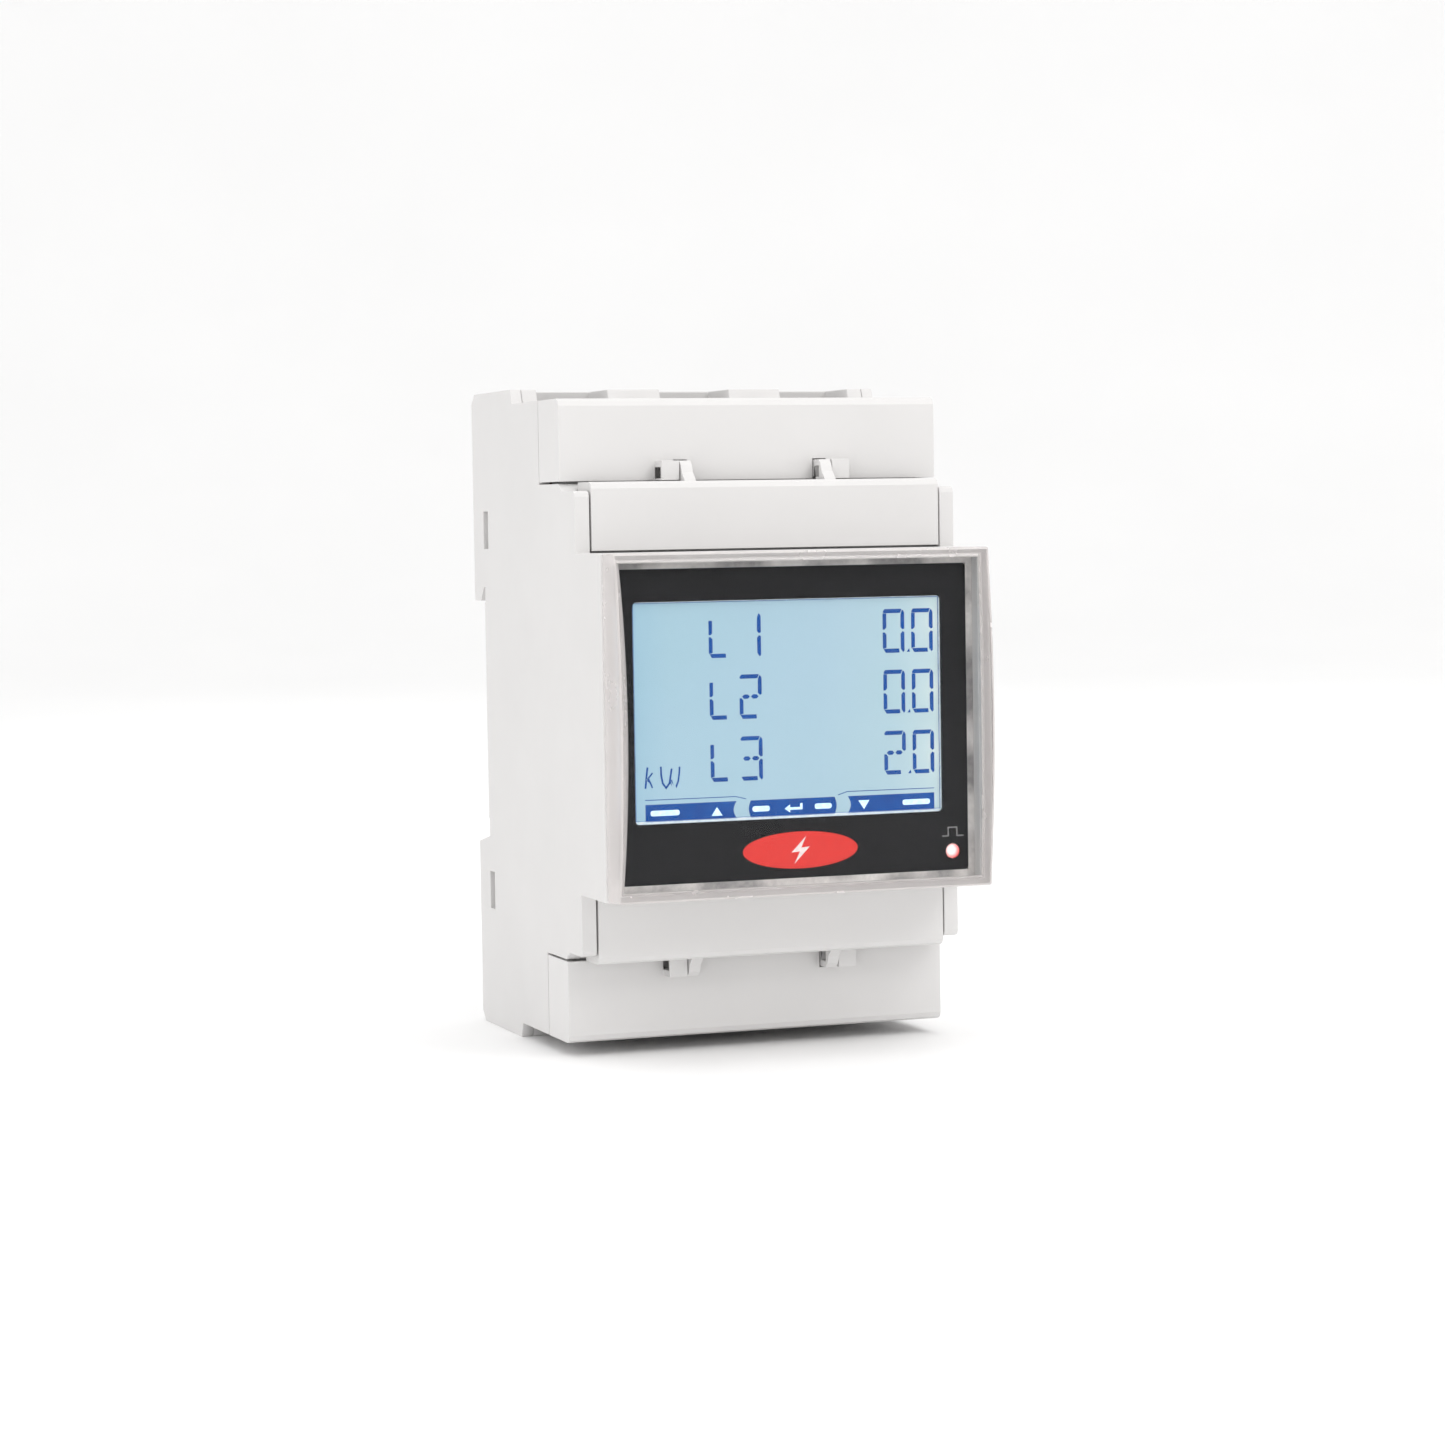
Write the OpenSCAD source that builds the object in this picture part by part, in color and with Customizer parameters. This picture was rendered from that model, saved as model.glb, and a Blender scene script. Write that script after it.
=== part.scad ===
// Three-phase energy meter for a 35 mm mounting rail, three modules wide.
// Origin: centre of the rail seat. X runs along the rail, +Y towards the rail, +Z up. Millimetres.

/* [Body] */
// Width of the body, three modules of 18 mm
body_w = 54; // [54:0.5:58]
// Height over the ribs at the wire entries
body_h = 90; // [90:0.5:92]
// Height over the two terminal covers
cover_h = 86; // [85.5:0.1:86.5]
// Thickness of the housing's walls
wall = 1.6; // [1.4:0.1:1.8]

/* [Steps of the front, as distances in front of the rail seat] */
// Front face of the terminal covers
cover_front = 36.6; // [36:0.1:37]
// Front face of the shoulder
shoulder_front = 43; // [42.6:0.1:43.4]
// Front rim of the nose
nose_front = 53.5; // [53:0.1:54]
// Front of the window at its upper and lower edge
window_edge = 56.3; // [56:0.1:56.6]
// Front of the window at its middle
window_crown = 58; // [57.6:0.1:58.4]

/* [Nose and display] */
// Height of the nose
nose_h = 45; // [44.5:0.1:45.5]
// Width of the display's opening in the printed panel
lcd_w = 43.3; // [40:0.1:44]
// Height of the display's opening
lcd_h = 28.7; // [26:0.1:29]
// Sideways place of the display's middle
lcd_x = -0.75; // [-1:0.05:-0.5]
// Height of the display's middle
lcd_z = 1.7; // [1.2:0.05:2]

/* [Terminals] */
// Distance from one phase to the next
pitch = 18; // [17.8:0.1:18.2]
// Clear width of a main clamp
clamp_w = 9.4; // [9.2:0.1:9.6]
// Clear depth of a main clamp when it is open
clamp_open = 7.6; // [7:0.1:7.6]
// Radius of a main clamping screw
screw_r = 2.5; // [2.3:0.1:2.5]

/* [Rail clip] */
// Width of the clip
clip_w = 12; // [11:0.5:12]
// Turns of the clip's spring
spring_turns = 7; // [5:1:9]

/* [Hidden] */
$fn = 48;
eps = 0.01;
half_w = body_w / 2;
half_h = body_h / 2;
half_cover = cover_h / 2;
half_nose = nose_h / 2;
inner_x = half_w - wall;

// Rail, hooks and rear wall
hook_y = 5;            // how far the hooks reach behind the seat
upper_hook_z = 15.6;   // lower edge of the fixed upper hook
rail_top_z = 17.5;     // half of the 35 mm rail
lower_lip_z = -18;
relief = 0.3;
seat_z = 15.4;
cavity_z = 40.4;       // inner face of the entry frames
rib_front = 14.3;      // front of the ribs between the wire entries
entry_w = 10.3;
entry_rear = 6;        // the strip behind the wire entries ends here
neck_y = 27.3;         // where the terminal covers begin
shoulder_z = 30.7;
cover_z = 32;          // inner edge of the terminal covers
tower_front = 34.5;
tower_w = 50.2;
tower_top = 41.3;
panel_gap = 0.3;
panel_half = 24.7;
recess_half = 24.95;
panel_top = 31.85;

// Seal tabs, as distances from the middle
hook_x = 10;
hook_w = 1.6;
hook_gap = 0.15;
block_w = 2.5;
block_x = hook_x + hook_w / 2 + hook_gap + block_w / 2;
tab_top = 34.6;
tab_front = 39;
seal_z = [32.25, 33.75];

// Clamps and screws
screw_z = 36.1;
cage_wall = 1.2;       // front and rear of a cage
cage_side = 1;
cage_z = [32.6, 39.6];
cage_rear = 4.9;
cage_inner = cage_rear + cage_wall;
bar_t = 1.8;
bar_rear = cage_inner + clamp_open;
bar_front = bar_rear + bar_t;
cage_front = bar_front + 0.2;
cage_front_t = 2.6;
head_y = 27;
head_t = 2.8;
head_r = 3.4;
block_rear = 25;
block_front = 33;
shelf_front = 26.9;
access = 6.4;          // width of the holes for the screwdriver
phases = [-1, 0, 1];
aux_x = pitch / 2;
aux_screw_r = 1.25;
aux_head_r = 1.8;
aux_cage_rear = 14.6;
aux_length = 5.6;

// Window, a clear cap with a curved front
window_t = 2;
window_wall = 1.3;
bond_t = 0.2;
rebate_z = 21.4;       // half height of the nose's opening in front of the rebate
rebate_rear = 51;

// Display stack, as distances in front of the seat
panel_front = 51.7;
panel_x = 24.45;
panel_z = [-20.5, 20.3];
panel_t = 0.5;
foil_t = 0.2;
glass_t = 2.2;
guide_t = 2;
board_t = 1.6;
panel_rear = panel_front - panel_t;
foil_rear = panel_rear - 0.05 - foil_t;
glass_rear = foil_rear - 0.05 - glass_t;
guide_rear = glass_rear - 0.1 - guide_t;
display_board_front = guide_rear - 0.5;
display_board_rear = display_board_front - board_t;
power_board_rear = 22;
power_board_front = power_board_rear + board_t;
post_z = 15;
led_x = 22.25;
led_z = -18;
led_r = 1.05;

// Rail clip
clip_y = [2.7, 4.8];
flange_y = 3.7;
clip_bottom = -44.4;
clip_window = [-40, -25];
ledge_z = [-39.5, -37.5];
spring_r = 0.85;
spring_wire = 0.18;

white = "#e4e2df";
dark = "#2b2c30";
copper = "#c07a45";
steel = "#b9bbbe";
board_green = "#2f6b45";

// A box from its lowest to its highest corner; front distances are given as negative y.
module block(low, high) {
    translate(low) cube(high - low);
}

// A box given by its half width about x, and ranges of distance in front of the seat and of height.
module slab(x, half, front, z) {
    block([x - half, -front[1], z[0]], [x + half, -front[0], z[1]]);
}

// A side outline, [y, z] points, drawn out along X about the middle.
module along_x(outline, width) {
    rotate([90, 0, 90]) linear_extrude(width, center = true) polygon(outline);
}

// A round bar or bore along Y, from one distance in front of the seat to another.
module rod(x, z, r, from, to) {
    translate([x, -from, z]) rotate([90, 0, 0]) cylinder(h = to - from, r = r);
}

// Upper (1) or lower (-1) half of something drawn for the upper half.
module half(side) {
    if (side > 0) children();
    else mirror([0, 0, 1]) children();
}

function mirrored(points) = [for (i = [len(points) - 1 : -1 : 0]) [points[i][0], -points[i][1]]];

// ---- Housing ----

rib_outline = [
    [hook_y, half_h - 1.4], [hook_y - 1.4, half_h], [-rib_front, half_h], [-rib_front - 0.8, half_cover]
];

front_outline = concat(rib_outline, [
    [-neck_y, half_cover], [-neck_y, cover_z - 0.3], [-cover_front + 0.7, cover_z - 0.3],
    [-cover_front - 0.9, shoulder_z], [-shoulder_front + 0.8, shoulder_z],
    [-shoulder_front + 0.2, shoulder_z - 0.2], [-shoulder_front, shoulder_z - 0.8],
    [-shoulder_front, half_nose], [-nose_front, half_nose]
]);

hook_outline = [
    [0, seat_z], [-relief, seat_z], [-relief, rail_top_z], [0.4, rail_top_z],
    [2.1, upper_hook_z], [hook_y, upper_hook_z]
];

lip_outline = [
    [hook_y, lower_lip_z - 1], [0, lower_lip_z], [-relief, lower_lip_z], [-relief, -seat_z], [0, -seat_z]
];

housing_cavity = [
    [hook_y + 1, half_h + 1], [-neck_y, half_h + 1], [-neck_y, shoulder_z - 2.5],
    [-shoulder_front + 3.2, shoulder_z - 2.5], [-shoulder_front + 3.2, half_nose - 1.5],
    [-nose_front - 1, half_nose - 1.5]
];

// What is cut out of the upper and the lower half alike
module half_cuts() {
    // slots for the rear base's catches
    for (s = [-1, 1])
        block([s * half_w - 2, -2.3, 23], [s * half_w + 2, 0, 28.3]);
    // recess for the shoulder panel, in front and on top
    slab(0, recess_half, [shoulder_front - 1.8, shoulder_front + 1], [half_nose, shoulder_z + 2]);
    slab(0, recess_half, [cover_front + 0.6, shoulder_front + 1], [shoulder_z - 0.9, shoulder_z + 2]);
    // slots for the panel's catches
    for (s = [-1, 1])
        slab(s * 17, 2.2, [shoulder_front - 4, shoulder_front], [25.4, 27.4]);
}

module main_housing() {
    color(white) difference() {
        along_x(concat(hook_outline, front_outline, mirrored(front_outline), lip_outline), body_w);
        along_x(concat(housing_cavity, mirrored(housing_cavity)), 2 * inner_x);
        // rebate that holds the display's panel
        slab(0, inner_x, [rebate_rear, nose_front + 1], [-rebate_z, rebate_z]);
        for (side = [-1, 1]) half(side) half_cuts();
    }
}

// End of the housing with the ribs and the wire entries
module entry_frame(side) {
    color(white) half(side) difference() {
        along_x(concat([[hook_y, cavity_z]], rib_outline, [[-neck_y, half_cover], [-neck_y, cavity_z]]),
            2 * inner_x - 0.1);
        for (i = phases) {
            // channel between the ribs, and the wire's hole in its floor
            slab(i * pitch, entry_w / 2, [entry_rear, rib_front + 1], [half_cover, half_h + 1]);
            slab(i * pitch, clamp_w / 2 - 0.1, [cage_inner + 0.2, bar_rear - 0.2], [cavity_z - 1, half_h]);
        }
        for (s = [-1, 1])
            slab(s * aux_x, 1.3, [aux_cage_rear + 1, aux_cage_rear + 3.4], [cavity_z - 1, half_h]);
        // way for the rail clip
        if (side < 0)
            slab(0, clip_w / 2 + 0.3, [-hook_y - 1, 0.3 - clip_y[0]], [cavity_z - 1, half_h + 1]);
    }
}

// Hood over the terminals, with holes for a screwdriver
module terminal_hood(side) {
    color(white) half(side) difference() {
        slab(0, tower_w / 2, [neck_y, tower_front], [cover_z - 0.3, tower_top]);
        slab(0, tower_w / 2 - 1.4, [neck_y - 1, tower_front - 1.4], [cover_z - 1, 40]);
        for (i = phases)
            translate([0, 0, screw_z])
                slab(i * pitch, access / 2, [tower_front - 2, tower_front + 1], [-access / 2, access / 2]);
        for (s = [-1, 1])
            rod(s * aux_x, screw_z, 1.6, tower_front - 2, tower_front + 1);
    }
}

base_outline = [
    [hook_y, 40.2], [hook_y, upper_hook_z], [2.1, upper_hook_z], [0.4, rail_top_z], [-relief, rail_top_z],
    [-relief, seat_z], [0, seat_z], [0, -seat_z], [-relief, -seat_z], [-relief, lower_lip_z],
    [0, lower_lip_z], [hook_y, lower_lip_z - 1], [hook_y, -40.2], [hook_y - wall, -40.2],
    [hook_y - wall, -20.6], [-wall, -19.6], [-wall, 19.2], [1.2, 19.2], [hook_y - wall, 18],
    [hook_y - wall, 40.2]
];

module rear_base() {
    color(white) difference() {
        union() {
            along_x(base_outline, 2 * inner_x - 0.4);
            // boss that guides the clip
            block([-9.5, -0.6, -40.2], [9.5, hook_y, -19]);
            // posts for the power board
            for (s = [-1, 1], z = [-post_z, post_z]) {
                rod(s * aux_x, z, 2, 1, power_board_rear);
                rod(s * aux_x, z, 1.2, power_board_rear - 1, power_board_front + 1.4);
            }
            // catches in the housing's side slots
            for (s = [-1, 1], z = [-25.65, 25.65]) {
                slab(s * 24.2, 1.4, [0.5, 2.1], [z - 2.4, z + 2.4]);
                slab(s * 23.2, 0.8, [wall - hook_y - 0.2, 2.1], [z - 2.4, z + 2.4]);
            }
        }
        difference() {
            union() {
                block([-clip_w / 2 - 0.3, flange_y - 0.5, -41], [clip_w / 2 + 0.3, hook_y + 1, -17]);
                block([-clip_w / 2 - 1.5, clip_y[0] - 0.2, -41], [clip_w / 2 + 1.5, flange_y + 0.2, -17]);
                block([-clip_w / 2 - 0.3, 1, -28], [clip_w / 2 + 0.3, hook_y + 1, -17]);
            }
            block([-1.8, 1, ledge_z[0]], [1.8, clip_y[1] - 0.2, ledge_z[1]]);
        }
    }
}

// ---- Covers ----

// Way for the seal's wire across a tab, from a depth to just behind the tab's front
module seal_slot(x, width, from) {
    slab(x, width / 2 + 0.1, [from, tab_front - 0.5], seal_z);
}

module terminal_cover(side) {
    inner = half_w - 1.5;
    color(white) half(side) difference() {
        union() {
            along_x([
                [-neck_y - 0.3, half_cover], [-cover_front + 1, half_cover],
                [-cover_front + 0.3, half_cover - 0.3],
                [-cover_front, half_cover - 1], [-cover_front, cover_z], [-neck_y - 0.3, cover_z]
            ], body_w);
            for (s = [-1, 1])
                slab(s * block_x, block_w / 2, [cover_front - 0.5, tab_front], [cover_z, tab_top]);
        }
        slab(0, inner, [neck_y - 1, cover_front - 1.4], [cover_z - 1, half_cover - 1.4]);
        // notches that the panel's seal hooks reach through
        for (s = [-1, 1])
            slab(s * hook_x, hook_w / 2 + hook_gap, [cover_front - 2, cover_front + 1],
                [cover_z - 1, tab_top + hook_gap]);
        // the wire's way opens into the cover
        for (s = [-1, 1]) seal_slot(s * block_x, block_w, cover_front - 2);
    }
    // latch ribs that press on the tower's sides
    color(white) half(side) for (s = [-1, 1])
        translate([s * (inner - 0.05), 0, 0]) slab(0, 0.1, [neck_y + 2, cover_front - 1.5], [36, 38]);
}

module shoulder_panel(side) {
    top = panel_top;
    color(white) half(side) difference() {
        union() {
            along_x([
                [-shoulder_front - 0.1, half_nose + panel_gap], [-shoulder_front - 0.1, top - 0.9],
                [-shoulder_front + 0.15, top - 0.3], [-shoulder_front + 0.8, top],
                [-cover_front - 0.8, top], [-cover_front - 0.8, shoulder_z - 0.7],
                [-shoulder_front + 1.6, shoulder_z - 0.7], [-shoulder_front + 1.6, half_nose + panel_gap]
            ], 2 * panel_half);
            // seal hooks, swept back into the cover's notches
            for (s = [-1, 1]) translate([s * hook_x, 0, 0])
                along_x([
                    [-cover_front + 1, tab_top], [-tab_front + 0.5, tab_top],
                    [-tab_front - 0.1, tab_top - 0.6], [-tab_front - 0.5, 33],
                    [-tab_front - 1.7, top], [-shoulder_front + 1, top - 1],
                    [-cover_front - 0.8, top - 1], [-cover_front - 0.8, top], [-cover_front + 1, top + 1]
                ], hook_w);
            // catches
            for (s = [-1, 1])
                slab(s * 17, 1.8, [shoulder_front - 3, shoulder_front - 1.5], [25.7, 27.1]);
        }
        for (s = [-1, 1]) seal_slot(s * hook_x, hook_w, tab_front - 2.2);
        // slits beside the hooks
        for (s = [-1, 1], e = [-1, 1])
            translate([s * hook_x + e * (hook_w / 2 + 0.15), 0, 0])
                slab(0, 0.15, [cover_front, tab_front + 1.6], [top - 0.9, top + 1]);
    }
}

// ---- Window and display ----

// The window's outside, or with an inset the hollow behind its front
module window_shape(wall_inset, front_inset, half_z, rear) {
    bow_r = (pow(half_nose, 2) + pow(window_crown - window_edge, 2)) / (2 * (window_crown - window_edge));
    low = half_w - 0.1 - wall_inset;
    high = half_w - 0.9 - wall_inset;
    intersection() {
        translate([0, 0, -half_z]) linear_extrude(2 * half_z) polygon([
            [-low, -rear], [-low, -nose_front - bond_t],
            [-high, -window_edge - 0.3], [-high, -window_crown - 1],
            [high, -window_crown - 1], [high, -window_edge - 0.3],
            [low, -nose_front - bond_t], [low, -rear]
        ]);
        translate([-half_w, bow_r - window_crown, 0]) rotate([0, 90, 0])
            cylinder(h = body_w, r = bow_r - front_inset, $fn = 200);
    }
}

module window() {
    rim = nose_front + bond_t;
    color("#dfe4e6", 0.4) difference() {
        window_shape(0, 0, half_nose, rim - eps);
        window_shape(window_wall, window_t, rebate_z, rim - 1);
    }
}

module window_gasket() {
    front = nose_front + bond_t - 0.02;
    color("#d9dadb") difference() {
        slab(0, half_w - 0.5, [nose_front, front], [-half_nose + 0.4, half_nose - 0.4]);
        slab(0, inner_x + 0.2, [nose_front - 1, front + 1], [-rebate_z - 0.2, rebate_z + 0.2]);
    }
}

module display_panel() {
    color(dark) difference() {
        slab(0, panel_x, [panel_rear, panel_front - 0.02], panel_z);
        slab(lcd_x, lcd_w / 2, [panel_rear - 1, panel_front + 1], [lcd_z - lcd_h / 2, lcd_z + lcd_h / 2]);
        rod(led_x, led_z, led_r, panel_rear - 1, panel_front + 1);
    }
}

// Grey bond that holds the panel in the nose's rebate
module panel_seal() {
    color("#8d8f91") difference() {
        slab(0, inner_x - 0.02, [rebate_rear + 0.02, panel_front], [-rebate_z + 0.02, rebate_z - 0.02]);
        slab(0, panel_x + 0.02, [rebate_rear - 1, panel_front + 1], [panel_z[0] - 0.02, panel_z[1] + 0.02]);
    }
}

// A layer of the display stack, larger than the display's opening by a margin
module lcd_slab(margin, front) {
    reach = lcd_h / 2 + margin;
    slab(lcd_x, lcd_w / 2 + margin, front, [lcd_z - reach, lcd_z + reach]);
}

module touch_foil() {
    color("#cfe0ea", 0.3) lcd_slab(0.5, [foil_rear, foil_rear + foil_t]);
}

module lcd_glass() {
    color("#a9cbdc") lcd_slab(0.6, [glass_rear, glass_rear + glass_t]);
}

module light_guide() {
    color("#e8f0f4") lcd_slab(0.4, [guide_rear, guide_rear + guide_t]);
}

module backlight_leds() {
    color("#f2f0d8") for (z = [-9, 0, 9])
        translate([lcd_x + lcd_w / 2 + 0.9, 0, lcd_z + z])
            slab(0, 0.4, [guide_rear, guide_rear + 1.2], [-1.2, 1.2]);
}

module lcd_frame() {
    color("#d9dcdd") difference() {
        lcd_slab(1.8, [display_board_front + 0.05, glass_rear + 1.6]);
        lcd_slab(0.65, [glass_rear - 0.05, panel_front]);
        lcd_slab(0.5, [display_board_front - 1, glass_rear]);
        // room for the backlight's LEDs
        slab(lcd_x + lcd_w / 2 + 0.9, 0.5, [display_board_front - 1, glass_rear], [lcd_z - 11, lcd_z + 11]);
    }
}

module lcd_contacts() {
    color(copper) for (i = [-9 : 9])
        translate([lcd_x + i * 2, 0, lcd_z - lcd_h / 2 - 2.2])
            slab(0, 0.25, [display_board_front + 0.02, glass_rear + 1], [-0.2, 0.2]);
}

module display_board() {
    color(board_green) difference() {
        slab(0, 24.4, [display_board_rear, display_board_front], [-20, 20]);
        for (s = [-1, 1]) rod(s * 22, 17.5, 1.2, display_board_rear - 1, display_board_front + 1);
    }
}

module pulse_led() {
    front = display_board_front + 0.02;
    color("#e8e4e0") slab(led_x, 0.8, [front, front + 1], [led_z - 0.6, led_z + 0.6]);
}

module led_light_pipe() {
    color("#f0c8c4", 0.7) rod(led_x, led_z, led_r - 0.1, display_board_front + 1.1, panel_front - 0.1);
}

// ---- Electronics ----

module power_board() {
    color(board_green) difference() {
        slab(0, inner_x - 0.4, [power_board_rear, power_board_front], [-28, 28]);
        for (s = [-1, 1], z = [-post_z, post_z])
            rod(s * aux_x, z, 1.4, power_board_rear - 1, power_board_front + 1);
    }
}

module board_header() {
    color(dark) slab(8, 7, [power_board_front + 0.02, power_board_front + 2.5], [-11.3, -8.8]);
    color(copper) for (i = [0 : 5])
        translate([1.65 + i * 2.54, 0, -10])
            slab(0, 0.3, [power_board_front + 2.5, display_board_rear - 0.02], [-0.3, 0.3]);
}

module supply_capacitors() {
    color("#30343c") for (z = [-14, -3]) rod(-18, z, 4.5, power_board_front + 0.05, power_board_front + 13);
}

module surge_varistors() {
    color("#2f6fa8") for (i = phases) translate([i * 8 - 2, -power_board_front - 5.6, 22.4])
        rotate([0, 90, 0]) cylinder(h = 3, r = 5.4, center = true);
}

module supply_transformer() {
    color("#c9a53a") slab(16, 7, [power_board_front + 0.05, power_board_front + 3], [1, 13.5]);
    color(dark) slab(16, 5, [power_board_front + 3, power_board_front + 12], [3, 11.5]);
}

module meter_chips() {
    color(dark) {
        slab(-6, 5, [power_board_front + 0.02, power_board_front + 1.4], [-6, 4]);
        slab(15, 3, [power_board_front + 0.02, power_board_front + 1.8], [-22, -16]);
        slab(-6, 2.5, [power_board_front + 0.02, power_board_front + 1.8], [-24, -19]);
    }
}

module current_coil(i) {
    mid_y = -(bar_rear + bar_front) / 2;
    color("#2d57a5") translate([i * pitch, mid_y, 0]) rotate_extrude()
        polygon([
            [4.8, -5], [5.2, -5.6], [6.7, -5.6], [7.2, -5],
            [7.2, 5], [6.7, 5.6], [5.2, 5.6], [4.8, 5]
        ]);
}

module busbar(i) {
    color(copper) slab(i * pitch, clamp_w / 2 - 0.3, [bar_rear, bar_front], [-39.4, 39.4]);
}

// ---- Terminals ----

module terminal_block(side) {
    color("#3a3c40") half(side) difference() {
        union() {
            // shelf that carries the screws' heads
            slab(0, tower_w / 2 - 1.5, [block_rear, shelf_front], [32, 39.8]);
            // insulating walls between the clamps
            for (s = [-1, 1], e = [-1, 1])
                slab(s * aux_x + e * 2.75, 0.25, [1, block_front], [32, 39.8]);
        }
        for (i = phases)
            rod(i * pitch, screw_z, screw_r + 0.2, block_rear - 1, shelf_front + 1);
        for (s = [-1, 1])
            rod(s * aux_x, screw_z, aux_screw_r + 0.1, block_rear - 1, shelf_front + 1);
    }
}

// A cross recess cut into a screw's head
module recess(x, z, size, front) {
    for (a = [45, 135]) translate([x, -front, z]) rotate([0, a, 0])
        block([-size, -eps, -size / 5], [size, 1.4, size / 5]);
}

module clamp_screw(i, side) {
    color(steel) half(side) difference() {
        union() {
            rod(i * pitch, screw_z, screw_r, bar_front + 0.4, head_y + eps);
            rod(i * pitch, screw_z, head_r, head_y, head_y + head_t);
        }
        recess(i * pitch, screw_z, 2.4, head_y + head_t);
    }
}

module clamp_cage(i, side) {
    front = [cage_rear, cage_front + cage_front_t];
    color("#c9ccd0") half(side) difference() {
        slab(i * pitch, clamp_w / 2 + cage_side, front, cage_z);
        slab(i * pitch, clamp_w / 2, [cage_inner, cage_front], [cage_z[0] - 1, cage_z[1] + 1]);
        rod(i * pitch, screw_z, screw_r + 0.05, cage_front - 1, cage_front + cage_front_t + 1);
    }
}

module aux_screw(s, side) {
    color(steel) half(side) difference() {
        union() {
            rod(s * aux_x, screw_z, aux_screw_r, aux_cage_rear + 4.5, head_y + eps);
            rod(s * aux_x, screw_z, aux_head_r - 0.1, head_y, head_y + 1.8);
        }
        translate([s * aux_x, -head_y - 1.8, screw_z]) block([-2, -eps, -0.3], [2, 0.9, 0.3]);
    }
}

module aux_clamp(s, side) {
    color("#d0b468") half(side) difference() {
        slab(s * aux_x, 2.2, [aux_cage_rear, aux_cage_rear + aux_length], [33.4, 38.8]);
        slab(s * aux_x, 1.5, [aux_cage_rear + 0.8, aux_cage_rear + 4.4], [33, 39]);
        rod(s * aux_x, screw_z, aux_screw_r + 0.05, aux_cage_rear + 4, aux_cage_rear + 8);
    }
}

// Contact tongues of the small terminals, from the clamps to the power board
module aux_contacts() {
    from = aux_cage_rear + 3.5;
    color(copper) for (side = [-1, 1], s = [-1, 1]) half(side) {
        slab(s * aux_x, 1.2, [from, from + 0.6], [26, 38.6]);
        slab(s * aux_x, 1.2, [from + 0.6, power_board_rear - 0.02], [26, 26.7]);
    }
}

// ---- Rail clip ----

module rail_clip() {
    half = clip_w / 2;
    color(white) difference() {
        union() {
            block([-half, clip_y[0], clip_bottom], [half, clip_y[1], -20.4]);
            block([-half - 1.2, clip_y[0], -35], [half + 1.2, flange_y, -25]);
            // tongue behind the rail's lower edge, with a lead-in slope
            along_x([
                [1.25, -23.4], [clip_y[1], -23.4], [clip_y[1], -19.2], [2.6, -16.4], [1.25, -16.4]
            ], clip_w);
        }
        block([-2.2, 0, clip_window[0]], [2.2, 6, clip_window[1]]);
        // slot for a screwdriver's blade
        block([-3.2, 0, clip_bottom + 1.2], [3.2, 6, clip_bottom + 2.8]);
    }
}

// A round wire wound about a vertical axis
module coil(radius, wire, z0, z1, turns) {
    per_turn = 14;
    sides = 8;
    rings = turns * per_turn;
    rise = (z1 - z0 - 2 * wire) / rings;
    points = [for (i = [0 : rings], k = [0 : sides - 1])
        let (a = 360 * i / per_turn, b = 360 * k / sides, r = radius + wire * cos(b))
            [r * cos(a), r * sin(a), z0 + wire + rise * i + wire * sin(b)]];
    sides_faces = [for (i = [0 : rings - 1], k = [0 : sides - 1])
        let (n = (k + 1) % sides)
            [i * sides + k, (i + 1) * sides + k, (i + 1) * sides + n, i * sides + n]];
    ends = [[for (k = [0 : sides - 1]) k], [for (k = [sides - 1 : -1 : 0]) rings * sides + k]];
    polyhedron(points, concat(sides_faces, ends), convexity = 10);
}

module clip_spring() {
    color(steel) translate([0, (clip_y[0] + clip_y[1]) / 2, 0])
        coil(spring_r, spring_wire, ledge_z[1] + 0.02, clip_window[1] - 0.02, spring_turns);
}

// ---- Assembly ----

main_housing();
rear_base();
entry_frame(1);  // entry_frame_top
entry_frame(-1);  // entry_frame_bottom
terminal_hood(1);  // terminal_hood_top
terminal_hood(-1);  // terminal_hood_bottom
terminal_cover(1);  // terminal_cover_top
terminal_cover(-1);  // terminal_cover_bottom
shoulder_panel(1);  // shoulder_panel_top
shoulder_panel(-1);  // shoulder_panel_bottom
window();
window_gasket();
display_panel();
panel_seal();
touch_foil();
lcd_glass();
light_guide();
backlight_leds();
lcd_frame();
lcd_contacts();
display_board();
pulse_led();
led_light_pipe();
power_board();
board_header();
supply_capacitors();
surge_varistors();
supply_transformer();
meter_chips();
terminal_block(1);  // terminal_block_top
terminal_block(-1);  // terminal_block_bottom
busbar(-1);  // busbar_l1
busbar(0);  // busbar_l2
busbar(1);  // busbar_l3
current_coil(-1);  // current_coil_l1
current_coil(0);  // current_coil_l2
current_coil(1);  // current_coil_l3
clamp_screw(-1, 1);  // screw_top_l1
clamp_screw(0, 1);  // screw_top_l2
clamp_screw(1, 1);  // screw_top_l3
clamp_screw(-1, -1);  // screw_bottom_l1
clamp_screw(0, -1);  // screw_bottom_l2
clamp_screw(1, -1);  // screw_bottom_l3
clamp_cage(-1, 1);  // clamp_top_l1
clamp_cage(0, 1);  // clamp_top_l2
clamp_cage(1, 1);  // clamp_top_l3
clamp_cage(-1, -1);  // clamp_bottom_l1
clamp_cage(0, -1);  // clamp_bottom_l2
clamp_cage(1, -1);  // clamp_bottom_l3
aux_screw(-1, 1);  // aux_screw_top_1
aux_screw(1, 1);  // aux_screw_top_2
aux_screw(-1, -1);  // aux_screw_bottom_1
aux_screw(1, -1);  // aux_screw_bottom_2
aux_clamp(-1, 1);  // aux_clamp_top_1
aux_clamp(1, 1);  // aux_clamp_top_2
aux_clamp(-1, -1);  // aux_clamp_bottom_1
aux_clamp(1, -1);  // aux_clamp_bottom_2
aux_contacts();
rail_clip();
clip_spring();
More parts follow.
